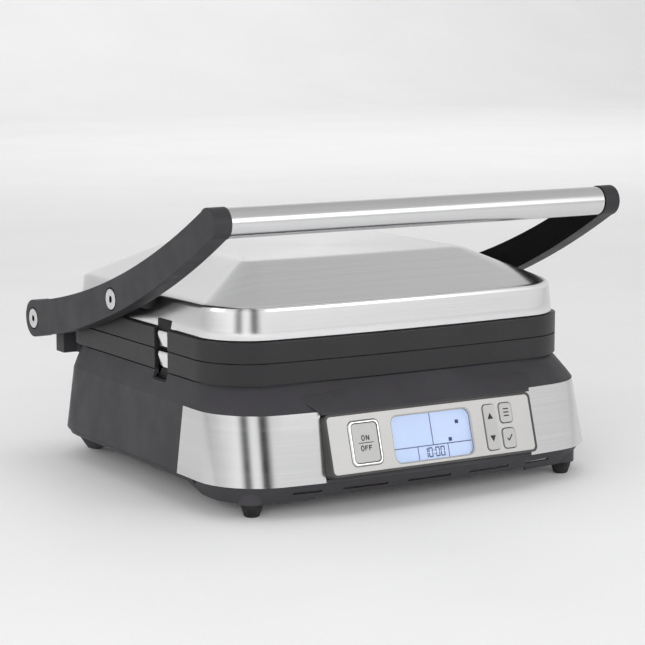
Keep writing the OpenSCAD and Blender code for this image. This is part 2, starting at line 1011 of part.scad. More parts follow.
// Local frame of the release slider: X along the arm, Y across it and Z out of its face
module release_place() {
    slope = arm_slope(arm_steps*0.15);
    at = arm_point(slope, 0);
    translate([arm_out, at[0], at[1]])
        rotate([-slope, 0, 0])
            rotate([90, 0, 90])
                children();
}

module handle_tube() {
    color(steel)
    difference() {
        rod_x(-arm_in + 0.05, arm_in - 0.05, handle_at[0], handle_at[1], handle_d/2);
        rod_x(-far, far, handle_at[0], handle_at[1], handle_d/2 - 1.5);
    }
}

// Stepped plugs that join the bar to the arms
module handle_spigots() {
    color(iron)
    both_sides() {
        rod_x(arm_in - 30, arm_in, handle_at[0], handle_at[1], handle_d/2 - 1.55);
        rod_x(arm_in, arm_in + 8.8, handle_at[0], handle_at[1], 8);
    }
}

module release_slider() {
    color(black)
    release_place()
        difference() {
            block(-13.6, 6, -4.9, 4.9, -4, 0.3);
            for (i = [0:4])
                block(-11 + 3.4*i, -10 + 3.4*i, -6, 6, -0.3, 2);
        }
}

module release_spring() {
    color(steel)
    release_place()
        translate([6.1, 0, -2.2])
            rotate([0, 90, 0])
                coil_spring(7.7, 1.4, 0.25);
}

// ---- lid ----

// The pressed cover's form: upright wall, soft edge, four slopes and a flat top
module lid_form(inset, down) {
    loft(concat(
        down > 0 ? [[lid_z - down, lid_outline(inset)]] : [],
        [[lid_z, lid_outline(inset)],
         [crease_z - 3, lid_outline(inset + 1.9)],
         [crease_z, lid_outline(inset + 2.9)],
         [crease_z + 1.5 - inset/2, lid_outline(inset + 5)],
         [lid_top_z - 1.2 - inset, flat_outline(-3.4)],
         [lid_top_z - inset, flat_outline(0)]]));
}

module lid_cover() {
    color(steel)
    difference() {
        lid_form(0, 0);
        lid_form(cover_t, 2);
        latch_notch(0.2, 0, 122.9);
        rod_x(-far, far, lid_pivot[0], lid_pivot[1], 3.3);
    }
}

module lid_frame() {
    color(black)
    difference() {
        prism(frame_z, frame_z + frame_t, lid_outline(cover_t + 0.4));
        prism(0, far, plate_outline(30));
        for (side = [-1, 1])
            for (y = [-4, 22])
                post(side*131, y, 0, far, 1.8);
        latch_notch(0.2, 0, far);
    }
}

module upper_plate() {
    color(iron)
    translate([0, 0, frame_z - 0.1])
        mirror([0, 0, 1])
            cooking_plate(frame_z - 0.1 - seam_z - plate_gap, 0.4);
}

module upper_heat_pan() {
    pan_top = frame_z + frame_t + 12;
    color(steel)
    difference() {
        union() {
            prism(frame_z + frame_t + 0.1, frame_z + frame_t + 1.1, plate_outline(24.2));
            prism(frame_z + frame_t + 0.1, pan_top, plate_outline(31));
        }
        prism(0, pan_top - 1, plate_outline(32));
        post(0, 0, 0, far, 4.2);
    }
}

module upper_heating_element() {
    color(iron)
        element(frame_z + 0.5);
}

module upper_sensor() {
    color(steel)
        post(0, 0, frame_z - flat_depth + 0.2, frame_z + 22, 4);
}

module upper_latch_housing() {
    latch_housing(seam_z + 0.8, 122.7, 103.2, 114.6);
}

module upper_latch_button() {
    latch_button(103.2, 114.6);
}

module upper_latch_spring() {
    latch_spring(108.9);
}

module lid_pivot_brackets() {
    color(steel)
    both_sides()
        difference() {
            block(125, lid_w/2 - 5, -9, 27, frame_z + frame_t + 0.2, 137.2);
            rod_x(0, far, lid_pivot[0], lid_pivot[1], 3.05);
            for (y = [-4, 22])
                post(131, y, 0, frame_z + frame_t + 12, 1.65);
        }
}

module lid_pivot_bolts() {
    color(steel)
    both_sides()
        pivot_bolt(lid_pivot, lid_w/2 - 0.4, 127, 3);
}

module lid_spacers() {
    color(iron)
    both_sides()
        difference() {
            rod_x(lid_w/2 - 0.7, arm_in - 0.4, lid_pivot[0], lid_pivot[1], 7.6);
            rod_x(0, far, lid_pivot[0], lid_pivot[1], shoulder_r + running);
        }
}

module lid_screws() {
    color(steel)
    for (side = [-1, 1])
        for (y = [-4, 22])
            cross_screw(side*131, y, frame_z - 1.8, frame_z + frame_t + 10, 1.6, 3.2);
}

base_housing();
base_bottom_cover();
front_feet();
rear_feet();
base_screws();
steel_wrap_left();
steel_wrap_right();
control_housing();
control_fascia();
power_button_ring();
power_button();
rocker_button();
rocker_pin();
menu_button();
confirm_button();
lcd_window();
lcd_module();
control_board();
key_switches();
power_board();
power_board_parts();
cord_gland();
lower_plate();
lower_heat_pan();
lower_heating_element();
lower_sensor();
grease_chute();
drip_tray();
lower_latch_housing();
lower_latch_button();
lower_latch_spring();
hinge_bracket_left();
hinge_bracket_right();
bracket_screws();
rear_pivot_bolts();
hinge_washers();
arm_left();
arm_right();
handle_tube();
handle_spigots();
release_slider();
release_spring();
lid_cover();
lid_frame();
upper_plate();
upper_heat_pan();
upper_heating_element();
upper_sensor();
upper_latch_housing();
upper_latch_button();
upper_latch_spring();
lid_pivot_brackets();
lid_pivot_bolts();
lid_spacers();
lid_screws();
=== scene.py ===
import json
import math

import bpy
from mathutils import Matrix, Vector


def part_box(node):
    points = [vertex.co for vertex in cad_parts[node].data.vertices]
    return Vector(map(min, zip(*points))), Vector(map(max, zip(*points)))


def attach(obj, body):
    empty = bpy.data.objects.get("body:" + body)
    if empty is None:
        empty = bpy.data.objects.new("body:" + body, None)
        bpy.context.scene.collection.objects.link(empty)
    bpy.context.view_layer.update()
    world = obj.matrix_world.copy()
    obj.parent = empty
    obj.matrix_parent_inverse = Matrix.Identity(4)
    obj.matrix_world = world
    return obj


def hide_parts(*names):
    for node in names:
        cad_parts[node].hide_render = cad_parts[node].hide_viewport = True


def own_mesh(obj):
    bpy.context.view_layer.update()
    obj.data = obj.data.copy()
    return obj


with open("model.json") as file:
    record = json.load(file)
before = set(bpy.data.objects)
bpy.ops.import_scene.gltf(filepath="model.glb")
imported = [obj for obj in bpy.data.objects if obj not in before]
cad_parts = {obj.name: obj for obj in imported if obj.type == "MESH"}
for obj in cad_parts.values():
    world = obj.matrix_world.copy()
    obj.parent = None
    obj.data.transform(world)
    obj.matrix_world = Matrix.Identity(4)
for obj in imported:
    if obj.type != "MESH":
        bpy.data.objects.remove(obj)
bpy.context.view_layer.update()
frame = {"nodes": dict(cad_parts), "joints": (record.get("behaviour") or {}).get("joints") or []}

nodes = frame["nodes"]

MM = 0.001


# ---- objects ----

def add_object(name, data):
    """An object in the scene that shows the data given."""
    obj = bpy.data.objects.new(name, data)
    bpy.context.scene.collection.objects.link(obj)
    return obj


def add_mesh(name, points, faces):
    mesh = bpy.data.meshes.new(name)
    mesh.from_pydata(points, [], faces)
    mesh.update()
    return add_object(name, mesh)


def shade_smooth(mesh):
    """Drops a mesh's stored normals and shades its faces smoothly."""
    for normals in [a for a in mesh.attributes if a.name == "custom_normal"]:
        mesh.attributes.remove(normals)
    mesh.polygons.foreach_set("use_smooth", [True] * len(mesh.polygons))


def dress(obj, material):
    """Gives an object one material."""
    obj.data.materials.clear()
    obj.data.materials.append(material)


# ---- node trees ----

RAMP_FOOT, RAMP_TOP = 0.3, 0.7


def toned(colour, *shares):
    """The colour at each share of its strength, with no channel over 1."""
    return [tuple(min(1.0, c * share) for c in colour) for share in shares]


class Graph:
    """A node tree, with short calls that add nodes to it."""

    def __init__(self, tree):
        self.tree = tree

    def add(self, kind, **settings):
        node = self.tree.nodes.new(kind)
        for key, value in settings.items():
            setattr(node, key, value)
        return node

    def link(self, source, socket):
        self.tree.links.new(source, socket)

    def parts(self, vector):
        """The X, Y and Z of a vector."""
        split = self.add("ShaderNodeSeparateXYZ")
        self.link(vector, split.inputs["Vector"])
        return split.outputs

    def ramp(self, factor, *stops):
        """A colour ramp; each stop is (position, value or colour)."""
        ramp = self.add("ShaderNodeValToRGB")
        while len(ramp.color_ramp.elements) < len(stops):
            ramp.color_ramp.elements.new(1.0)
        for element, (position, colour) in zip(ramp.color_ramp.elements, stops):
            if not isinstance(colour, tuple):
                colour = (colour,) * 3
            element.position = position
            element.color = (*colour, 1.0)
        self.link(factor, ramp.inputs["Fac"])
        return ramp.outputs["Color"]

    def math(self, operation, *values):
        node = self.add("ShaderNodeMath", operation=operation)
        for socket, value in zip(node.inputs, values):
            if isinstance(value, (int, float)):
                socket.default_value = value
            else:
                self.link(value, socket)
        return node.outputs[0]

    def mix(self, factor, first, second, blend="MIX"):
        mix = self.add("ShaderNodeMix", data_type="RGBA", blend_type=blend)
        for name, value in (("Factor", factor), ("A", first), ("B", second)):
            socket = [s for s in mix.inputs if s.name == name and s.enabled][0]
            if isinstance(value, tuple):
                socket.default_value = (*value, 1.0)
            elif isinstance(value, (int, float)):
                socket.default_value = value
            else:
                self.link(value, socket)
        return [s for s in mix.outputs if s.enabled][0]


class Shader(Graph):
    """A material's node tree, which works in the object's own coordinates."""

    def __init__(self, name):
        self.material = bpy.data.materials.new(name)
        self.material.use_nodes = True
        super().__init__(self.material.node_tree)
        self.surface = self.tree.nodes["Principled BSDF"]
        self.place = self.add("ShaderNodeTexCoord").outputs["Object"]

    def scaled(self, scale):
        """Object coordinates, scaled along each axis."""
        mapping = self.add("ShaderNodeMapping")
        self.link(self.place, mapping.inputs["Vector"])
        mapping.inputs["Scale"].default_value = scale
        return mapping.outputs["Vector"]

    def facing(self):
        """The X, Y and Z of the direction that a face looks in."""
        return self.parts(self.add("ShaderNodeNewGeometry").outputs["Normal"])

    def noise(self, scale, detail=2.0, roughness=0.5, vector=None):
        noise = self.add("ShaderNodeTexNoise")
        self.link(vector or self.place, noise.inputs["Vector"])
        noise.inputs["Scale"].default_value = scale
        noise.inputs["Detail"].default_value = detail
        noise.inputs["Roughness"].default_value = roughness
        return noise.outputs[0]

    def cells(self, scale):
        cells = self.add("ShaderNodeTexVoronoi")
        self.link(self.place, cells.inputs["Vector"])
        cells.inputs["Scale"].default_value = scale
        return cells.outputs["Distance"]

    def vary(self, factor, low, high):
        """A value or colour that goes from low to high over the middle of a noise."""
        return self.ramp(factor, (RAMP_FOOT, low), (RAMP_TOP, high))

    def bump(self, height, distance, strength=1.0, below=None):
        bump = self.add("ShaderNodeBump")
        bump.inputs["Distance"].default_value = distance
        bump.inputs["Strength"].default_value = strength
        self.link(height, bump.inputs["Height"])
        if below:
            self.link(below, bump.inputs["Normal"])
        return bump.outputs["Normal"]

    def edges(self, radius):
        """1 on convex edges sharper than radius, 0 elsewhere."""
        soft = self.add("ShaderNodeBevel", samples=4)
        soft.inputs["Radius"].default_value = radius
        plain = self.add("ShaderNodeNewGeometry")
        dot = self.add("ShaderNodeVectorMath", operation="DOT_PRODUCT")
        self.link(soft.outputs["Normal"], dot.inputs[0])
        self.link(plain.outputs["Normal"], dot.inputs[1])
        return self.ramp(dot.outputs["Value"], (0.82, 1.0), (0.97, 0.0))

    def finish(self, colour=None, roughness=None, normal=None, **sockets):
        for value, name in ((colour, "Base Color"), (roughness, "Roughness"), (normal, "Normal")):
            if value is not None:
                self.link(value, self.surface.inputs[name])
        for name, value in sockets.items():
            self.surface.inputs[name.replace("_", " ")].default_value = value
        return self.material


# ---- materials ----

# gloss of plain plastic, and of its painted shade on faces that look inward
PLASTIC_GLOSS, SHADED_GLOSS = 0.26, 0.06
PLASTIC_GRAIN, SPECK_GRAIN = 1400.0, 2240.0
EDGE_WEAR, WEAR_RADIUS = 0.3, 0.7 * MM


def moulded(name, colour, roughness=0.5, inner=None):
    """Fine-grained moulded plastic, a little paler where its edges are handled.

    inner is a painted shade: the near-black colour, with less gloss, of the faces that look towards
    the object's middle plane, where shade falls.
    """
    s = Shader(name)
    tone = s.mix(0.35, s.noise(18.0, 4.0), s.noise(SPECK_GRAIN, 2.0))
    base = s.vary(tone, *toned(colour, 0.82, 1.2))
    pale = tuple(min(1.0, c * 1.9 + 0.02) for c in colour)
    handled = s.ramp(s.noise(160.0, 3.0), (0.35, 0.0), (RAMP_TOP, EDGE_WEAR))
    wear = s.math("MULTIPLY", s.edges(WEAR_RADIUS), handled)
    rough = s.vary(s.noise(60.0, 5.0), roughness - 0.06, roughness + 0.08)
    fine = s.bump(s.cells(PLASTIC_GRAIN), 0.00005, 0.55)
    wave = s.bump(s.noise(35.0, 2.0), 0.0001, 0.2, fine)
    base = s.mix(wear, base, pale)
    # painted shade: faces that look towards the middle plane are coloured near-black, with little
    # gloss, where shade falls on them
    if inner:
        side = s.math("SIGN", s.parts(s.place)["X"])
        outward = s.math("MULTIPLY", side, s.facing()["X"])
        shaded = s.ramp(s.math("MULTIPLY_ADD", outward, 0.5, 0.5), (0.15, 1.0), (0.4, 0.0))
        base = s.mix(shaded, base, inner)
        gloss = s.ramp(shaded, (0.0, PLASTIC_GLOSS), (1.0, SHADED_GLOSS))
        s.link(gloss, s.surface.inputs["Specular IOR Level"])
    return s.finish(base, rough, wave, Specular_IOR_Level=PLASTIC_GLOSS)


def brushed(name, colour, roughness, round_bar=False):
    """Brushed steel: its grain runs level round upright walls and across the flat faces."""
    s = Shader(name)
    place = s.parts(s.place)
    if round_bar:
        flat = 1.0
    else:
        flat = s.ramp(s.math("ABSOLUTE", s.facing()["Z"]), (0.30, 0.0), (0.45, 1.0))
    crossing = s.math("MULTIPLY_ADD", place["Y"], flat, place["Z"])

    def grain(fine, coarse):
        lines = s.add("ShaderNodeCombineXYZ")
        s.link(s.math("MULTIPLY", place["X"], coarse), lines.inputs["X"])
        s.link(s.math("MULTIPLY", place["Y"], coarse), lines.inputs["Y"])
        s.link(s.math("MULTIPLY", crossing, fine), lines.inputs["Z"])
        return s.noise(1.0, 3.0, 0.6, lines.outputs["Vector"])

    streak = grain(2400.0, 9.0)
    smudge = s.noise(9.0, 5.0, 0.6)
    tone = s.mix(0.35, streak, grain(260.0, 3.0))
    dark, light, smudged = toned(colour, 0.94, 1.04, 0.85)
    base = s.mix(s.ramp(smudge, (0.45, 0.0), (0.8, 0.05)), s.vary(tone, dark, light), smudged)
    rough = s.vary(s.mix(0.5, tone, smudge), roughness - 0.04, roughness + 0.05)
    return s.finish(base, rough, s.bump(streak, 0.000006, 0.7), Metallic=1.0, Anisotropic=0.55)


# near-black painted shade for the inside of a socket
RECESS_PAINTED_SHADE = (0.02, 0.02, 0.022)


def bright_metal(name, colour, roughness, painted_shade_within=None):
    """Plated or turned metal with faint turning marks.

    Its last argument is the distance from the middle plane, in metres, below which the metal is
    painted near-black: painted shade inside the socket.
    """
    s = Shader(name)
    base = s.vary(s.noise(70.0, 5.0), *toned(colour, 0.9, 1.0))
    rough = s.vary(s.noise(220.0, 4.0), roughness - 0.05, roughness + 0.1)
    # painted shade: faces deeper than the given distance from the middle plane are coloured
    # near-black, where shade falls in the socket
    if painted_shade_within:
        inside = s.math("LESS_THAN", s.math("ABSOLUTE", s.parts(s.place)["X"]), painted_shade_within)
        base = s.mix(inside, base, RECESS_PAINTED_SHADE)
    return s.finish(base, rough, s.bump(s.noise(2600.0, 2.0), 0.000008, 0.5), Metallic=1.0)


def satin_silver(name, colour, along="X", roughness=0.36):
    """Silver-painted plastic with a fine brushed grain."""
    s = Shader(name)
    scale = [3200.0] * 3
    scale["XYZ".index(along)] = 14.0
    streak = s.noise(1.0, 3.0, 0.6, s.scaled(scale))
    tone = s.mix(0.4, streak, s.noise(30.0, 4.0))
    base = s.vary(tone, *toned(colour, 0.93, 1.05))
    rough = s.vary(streak, roughness - 0.05, roughness + 0.08)
    return s.finish(base, rough, s.bump(streak, 0.000008, 0.7),
                    Metallic=0.55, Coat_Weight=0.15, Coat_Roughness=0.2)


BARE_CASTING = (0.16, 0.155, 0.15)


def coated_casting(name, colour):
    """Cast aluminium under a dark, finely speckled non-stick coating."""
    s = Shader(name)
    speck = s.ramp(s.noise(3800.0, 1.0), (0.56, 0.0), (0.72, 1.0))
    dark, light, fleck = toned(colour, 0.8, 1.2, 3.2)
    base = s.vary(s.noise(24.0, 5.0), dark, light)
    base = s.mix(s.math("MULTIPLY", speck, 0.30), base, fleck)
    rubbed = s.ramp(s.noise(300.0, 3.0), (0.4, 0.0), (0.75, 0.3))
    wear = s.math("MULTIPLY", s.edges(0.6 * MM), rubbed)
    rough = s.vary(s.noise(900.0, 4.0), 0.36, 0.52)
    pit = s.bump(s.cells(1500.0), 0.00005, 0.45)
    swell = s.bump(s.noise(300.0, 3.0), 0.00008, 0.35, pit)
    return s.finish(s.mix(wear, base, BARE_CASTING), rough, swell, Specular_IOR_Level=0.5)


def rubber(name, colour):
    """Matt rubber with a fine tooth."""
    s = Shader(name)
    base = s.vary(s.noise(220.0, 4.0), *toned(colour, 0.7, 1.5))
    rough = s.vary(s.noise(500.0, 3.0), 0.7, 0.88)
    return s.finish(base, rough, s.bump(s.noise(2400.0, 3.0), 0.00005, 0.5), Specular_IOR_Level=0.3)


HEAT_BLUE = (0.16, 0.13, 0.16)


def oxidised(name, colour):
    """Heater tube, blued and dulled by heat."""
    s = Shader(name)
    dark, = toned(colour, 0.6)
    base = s.ramp(s.noise(90.0, 5.0), (RAMP_FOOT, dark), (0.55, colour), (0.8, HEAT_BLUE))
    rough = s.vary(s.noise(400.0, 4.0), 0.45, 0.7)
    return s.finish(base, rough, s.bump(s.noise(1800.0, 4.0), 0.00006, 0.6), Metallic=0.7)


def laminate(name, colour):
    """Circuit board: green solder mask with a faint trace pattern under it."""
    s = Shader(name)
    trace = s.ramp(s.cells(240.0), (0.3, 0.0), (0.36, 1.0))
    base = s.mix(s.math("MULTIPLY", trace, 0.5), *toned(colour, 1.0, 2.0))
    rough = s.vary(s.noise(300.0, 3.0), 0.25, 0.4)
    return s.finish(base, rough, s.bump(trace, 0.00003, 0.5))


def glowing(name, colour, strength):
    """Backlit display: an even glow with the faint mottle and rows of its cells."""
    s = Shader(name)
    mottle = s.vary(s.noise(60.0, 3.0), *toned(colour, 0.95, 1.0))
    rows = s.noise(1.0, 0.0, 0.5, s.scaled((2000.0, 2000.0, 2000.0)))
    tone = s.mix(1.0, mottle, s.ramp(rows, (0.4, 0.97), (0.6, 1.0)), "MULTIPLY")
    s.link(tone, s.surface.inputs["Emission Color"])
    rough = s.vary(s.noise(500.0, 2.0), 0.3, 0.4)
    return s.finish(tone, rough, None, Emission_Strength=strength)


def ink(name, colour):
    """Printed or lit-up marks, very slightly uneven."""
    s = Shader(name)
    base = s.vary(s.noise(1500.0, 2.0), *toned(colour, 0.85, 1.15))
    rough = s.vary(s.noise(900.0, 2.0), 0.45, 0.6)
    return s.finish(base, rough)


def clear(name):
    """Clear plastic that bends light only a little, so the display shows through it."""
    s = Shader(name)
    rough = s.ramp(s.noise(90.0, 4.0), (RAMP_FOOT, 0.015), (0.8, 0.05))
    tint = s.ramp(s.noise(20.0, 2.0), (0.2, (0.96, 0.98, 1.0)), (0.8, 1.0))
    return s.finish(tint, rough, None, Transmission_Weight=1.0, IOR=1.12)


def pale_floor(name):
    """A matt pale floor with a faint mottle."""
    s = Shader(name)
    base = s.vary(s.noise(3.0, 6.0), 0.83, 0.86)
    rough = s.vary(s.noise(8.0, 3.0), 0.55, 0.75)
    return s.finish(base, rough, s.bump(s.noise(120.0, 4.0), 0.0002, 0.2))


BOLT_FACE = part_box("rear_pivot_bolts")[1].x

charcoal = moulded("charcoal_moulding", (0.040, 0.038, 0.043), 0.5)
# the arms' inward faces get a near-black painted shade
arm_grey = moulded("arm_moulding", (0.032, 0.0315, 0.035), 0.46, inner=(0.0015, 0.0015, 0.0017))
black = moulded("black_moulding", (0.009, 0.0087, 0.0097), 0.5)
frame_grey = moulded("panel_frame_moulding", (0.058, 0.057, 0.055), 0.42)
steel_wrap = brushed("brushed_steel_wrap", (0.68, 0.68, 0.685), 0.15)
steel_lid = brushed("brushed_steel_lid", (0.83, 0.83, 0.838), 0.2)
steel_bar = brushed("brushed_steel_bar", (0.72, 0.72, 0.728), 0.22, round_bar=True)
silver = satin_silver("satin_silver_fascia", (0.485, 0.481, 0.472))
silver_key = satin_silver("satin_silver_keys", (0.455, 0.452, 0.444), "Z", 0.42)
plated = bright_metal("plated_metal", (0.93, 0.93, 0.93), 0.14)
# the bolt heads' sockets get painted shade below 0.5 mm under their face
bolt_metal = bright_metal("bolt_metal", (0.80, 0.80, 0.81), 0.26, painted_shade_within=BOLT_FACE - 0.5 * MM)
sheet = bright_metal("sheet_metal", (0.72, 0.72, 0.71), 0.34)
coating = coated_casting("coated_casting", (0.010, 0.0097, 0.0112))
foot_rubber = rubber("foot_rubber", (0.016, 0.016, 0.016))
heater = oxidised("heater_tube", (0.11, 0.10, 0.10))
board = laminate("board_laminate", (0.015, 0.11, 0.045))
display = glowing("display_glow", (0.36, 0.435, 0.60), 0.555)
mark_blue = ink("display_marks", (0.018, 0.028, 0.16))
mark_black = ink("key_marks", (0.012, 0.012, 0.012))
window = clear("display_window")
spring_wire = bright_metal("spring_wire", (0.62, 0.62, 0.62), 0.28)

FINISHES = {
    charcoal: ["base_housing", "base_bottom_cover", "hinge_bracket_left", "hinge_bracket_right",
               "lid_spacers"],
    frame_grey: ["control_housing"],
    arm_grey: ["arm_left", "arm_right"],
    black: ["key_switches", "power_board_parts", "cord_gland", "drip_tray",
            "lower_latch_housing", "upper_latch_housing", "release_slider", "lid_frame",
            "hinge_washers"],
    steel_wrap: ["steel_wrap_left", "steel_wrap_right"],
    steel_lid: ["lid_cover"],
    steel_bar: ["handle_tube"],
    silver: ["control_fascia"],
    silver_key: ["power_button", "rocker_button", "menu_button", "confirm_button"],
    plated: ["power_button_ring", "lower_latch_button", "upper_latch_button"],
    bolt_metal: ["rear_pivot_bolts", "lid_pivot_bolts"],
    sheet: ["base_screws", "bracket_screws", "rocker_pin", "lower_heat_pan", "upper_heat_pan",
            "lower_sensor", "upper_sensor", "lid_pivot_brackets", "lid_screws", "handle_spigots",
            "grease_chute"],
    coating: ["lower_plate", "upper_plate"],
    foot_rubber: ["front_feet", "rear_feet"],
    heater: ["lower_heating_element", "upper_heating_element"],
    board: ["control_board", "power_board"],
    display: ["lcd_module"],
    window: ["lcd_window"],
    spring_wire: ["lower_latch_spring", "upper_latch_spring", "release_spring"],
}


for finish, names in FINISHES.items():
    for name in names:
        dress(nodes[name], finish)


# ---- rounded edges ----

WELD_GAP = 0.001 * MM
FLAT_ANGLE = math.radians(0.5)
SHARP_ANGLE = math.radians(32.0)


def soften(obj, width):
    """Rounds an object's sharp edges to width, in metres, and shades it smoothly."""
    shade_smooth(obj.data)
    obj.modifiers.new("weld", "WELD").merge_threshold = WELD_GAP
    flat = obj.modifiers.new("flat", "DECIMATE")
    flat.decimate_type = "DISSOLVE"
    flat.angle_limit = FLAT_ANGLE
    flat.delimit = {"NORMAL"}
    bevel = obj.modifiers.new("round", "BEVEL")
    bevel.limit_method = "ANGLE"
    bevel.angle_limit = SHARP_ANGLE
    bevel.width = width
    bevel.segments = 2
    bevel.use_clamp_overlap = True
    shade = obj.modifiers.new("shade", "WEIGHTED_NORMAL")
    shade.weight = 60


def smooth_under(angle):
    """A node group that shades edges smoothly where they turn less than angle, in degrees."""
    group = bpy.data.node_groups.new("smooth_under_" + str(angle), "GeometryNodeTree")
    group.interface.new_socket("Geometry", in_out="INPUT", socket_type="NodeSocketGeometry")
    group.interface.new_socket("Geometry", in_out="OUTPUT", socket_type="NodeSocketGeometry")
    start = group.nodes.new("NodeGroupInput")
    end = group.nodes.new("NodeGroupOutput")
    bend = group.nodes.new("GeometryNodeInputMeshEdgeAngle")
    small = group.nodes.new("FunctionNodeCompare")
    small.data_type = "FLOAT"
    small.operation = "LESS_THAN"
    small.inputs[1].default_value = math.radians(angle)
    shade = group.nodes.new("GeometryNodeSetShadeSmooth")
    shade.domain = "EDGE"
    group.links.new(bend.outputs["Unsigned Angle"], small.inputs[0])
    group.links.new(start.outputs[0], shade.inputs["Geometry"])
    group.links.new(small.outputs[0], shade.inputs["Shade Smooth"])
    group.links.new(shade.outputs[0], end.inputs[0])
    return group


LOFTED = {"base_housing": 11.8, "base_bottom_cover": 11.8, "steel_wrap_left": 20.0,
          "steel_wrap_right": 20.0}
for name, angle in LOFTED.items():
    shell = nodes[name]
    shade_smooth(shell.data)
    shell.modifiers.new("weld", "WELD").merge_threshold = WELD_GAP
    shell.modifiers.new("smooth", "NODES").node_group = smooth_under(angle)
    weighted = shell.modifiers.new("weighted", "WEIGHTED_NORMAL")
    weighted.weight = 100
    weighted.keep_sharp = True

EDGE_RADII = {
    0.0022: ["arm_left", "arm_right"],
    0.0009: ["hinge_bracket_left", "hinge_bracket_right"],
    0.0006: ["drip_tray", "cord_gland", "rear_pivot_bolts", "lid_pivot_bolts", "control_housing",
             "front_feet", "rear_feet", "lid_spacers", "power_board_parts"],
    0.0004: ["power_button_ring", "power_button", "rocker_button", "menu_button", "confirm_button",
             "lower_latch_housing", "upper_latch_housing", "lower_latch_button",
             "upper_latch_button", "release_slider", "lid_frame", "lid_pivot_brackets",
             "lower_heat_pan", "upper_heat_pan", "lower_plate", "upper_plate"],
    0.00025: ["control_fascia", "lcd_window", "handle_spigots", "base_screws", "bracket_screws",
              "lid_screws", "handle_tube"],
}
for radius, names in EDGE_RADII.items():
    for name in names:
        soften(nodes[name], radius)


# ---- the lid's pressed cover ----

CREASE_BELOW_TOP = 24.4 * MM
FLAT_HALF_WIDTH, FLAT_FRONT, FLAT_REAR, FLAT_RADIUS = 90.5 * MM, 58.5 * MM, 80.0 * MM, 12 * MM
FRONT_RADIUS, REAR_RADIUS = 39 * MM, 27 * MM
FRONT_BOW = 1.6
SHEET = 1.0 * MM
ARC_STEPS = 20
# how far the wall leans in by its top, in millimetres
WALL_LEAN = 1.9
# (height over the crease, inset from the cover's edge), in millimetres, round the shoulder
SHOULDER = ((-1.4, 2.25), (-0.3, 2.75), (0.5, 3.4), (1.1, 4.2), (1.5, 5.0))
# (drop below the top, inset from the flat top's edge), in millimetres, round the crown
CROWN = ((1.2, -3.4), (0.62, -1.4), (0.22, 0.8), (0.04, 3.2), (0.0, 5.0))
SLOPE_STEPS = (0.04, 0.12, 0.35, 0.65, 0.9, 1.0)


def arc(cx, cy, radius, start, end):
    """Points on an arc from one angle to another, in degrees."""
    turns = [math.radians(start + (end - start) * i / ARC_STEPS) for i in range(ARC_STEPS + 1)]
    return [(cx + radius * math.cos(a), cy + radius * math.sin(a)) for a in turns]


def round_outline(half_width, front, rear, front_radius, rear_radius, bow, notch):
    """A rectangle with round corners and a bowed front edge; notch adds two points at the left."""
    inner = half_width - front_radius
    reach = bow - front_radius
    phi = math.degrees(math.asin(inner / reach))
    corner_y = (bow - front) - math.sqrt(reach ** 2 - inner ** 2)
    points = arc(-inner, corner_y, front_radius, 180, 270 - phi)
    points += arc(0.0, bow - front, bow, 270 - phi, 270 + phi)[1:-1]
    points += arc(inner, corner_y, front_radius, 270 + phi, 360)
    inner = half_width - rear_radius
    points += arc(inner, rear - rear_radius, rear_radius, 0, 90)
    points += arc(-inner, rear - rear_radius, rear_radius, 90, 180)
    return points + [(-half_width, notch[1]), (-half_width, notch[0])]


def lid_shell():
    """A smooth shell in place of the lid's cover, with its latch notch left open."""
    low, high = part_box("lid_cover")
    latch_low, latch_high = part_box("upper_latch_housing")
    notch = (latch_low.y - 0.1 * MM, latch_high.y + 0.1 * MM)
    crease = high.z - CREASE_BELOW_TOP

    def side(inset):
        inset *= MM
        return round_outline(high.x - inset, -low.y - inset, high.y - inset, FRONT_RADIUS - inset,
                             REAR_RADIUS - inset, FRONT_BOW - inset, notch)

    def flat(inset):
        inset *= MM
        return round_outline(FLAT_HALF_WIDTH - inset, FLAT_FRONT - inset, FLAT_REAR - inset,
                             FLAT_RADIUS, FLAT_RADIUS, FRONT_BOW, notch)

    def between(a, b, t):
        return [(p[0] + (q[0] - p[0]) * t, p[1] + (q[1] - p[1]) * t) for p, q in zip(a, b)]

    notch_top = latch_high.z + 0.2 * MM
    wall = crease - 3.0 * MM - low.z
    levels = [(low.z, side(0.0)), (notch_top, side(WALL_LEAN * (notch_top - low.z) / wall)),
              (low.z + wall, side(WALL_LEAN))]
    for rise, inset in SHOULDER:
        levels.append((crease + rise * MM, side(inset)))
    foot_z, foot = levels[-1]
    (drop, inset), *upper = CROWN
    crown_z, crown = high.z - drop * MM, flat(inset)
    for t in SLOPE_STEPS:
        levels.append((foot_z + (crown_z - foot_z) * t, between(foot, crown, t)))
    for drop, inset in upper:
        levels.append((high.z - drop * MM, flat(inset)))
    n = len(levels[0][1])
    points = [(x, y, z) for z, outline in levels for x, y in outline]
    faces = []
    for k in range(len(levels) - 1):
        for i in range(n):
            if k == 0 and i == n - 2:
                continue
            j = (i + 1) % n
            faces.append((k * n + i, k * n + j, (k + 1) * n + j, (k + 1) * n + i))
    faces.append(tuple((len(levels) - 1) * n + i for i in range(n)))
    obj = add_mesh("lid_shell", points, faces)
    shade_smooth(obj.data)
    dress(obj, steel_lid)
    thick = obj.modifiers.new("sheet", "SOLIDIFY")
    thick.thickness = SHEET
    thick.offset = -1.0
    obj.modifiers.new("shade", "WEIGHTED_NORMAL").weight = 60
    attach(obj, "lid")
    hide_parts("lid_cover")


lid_shell()


# ---- marks on the control panel ----

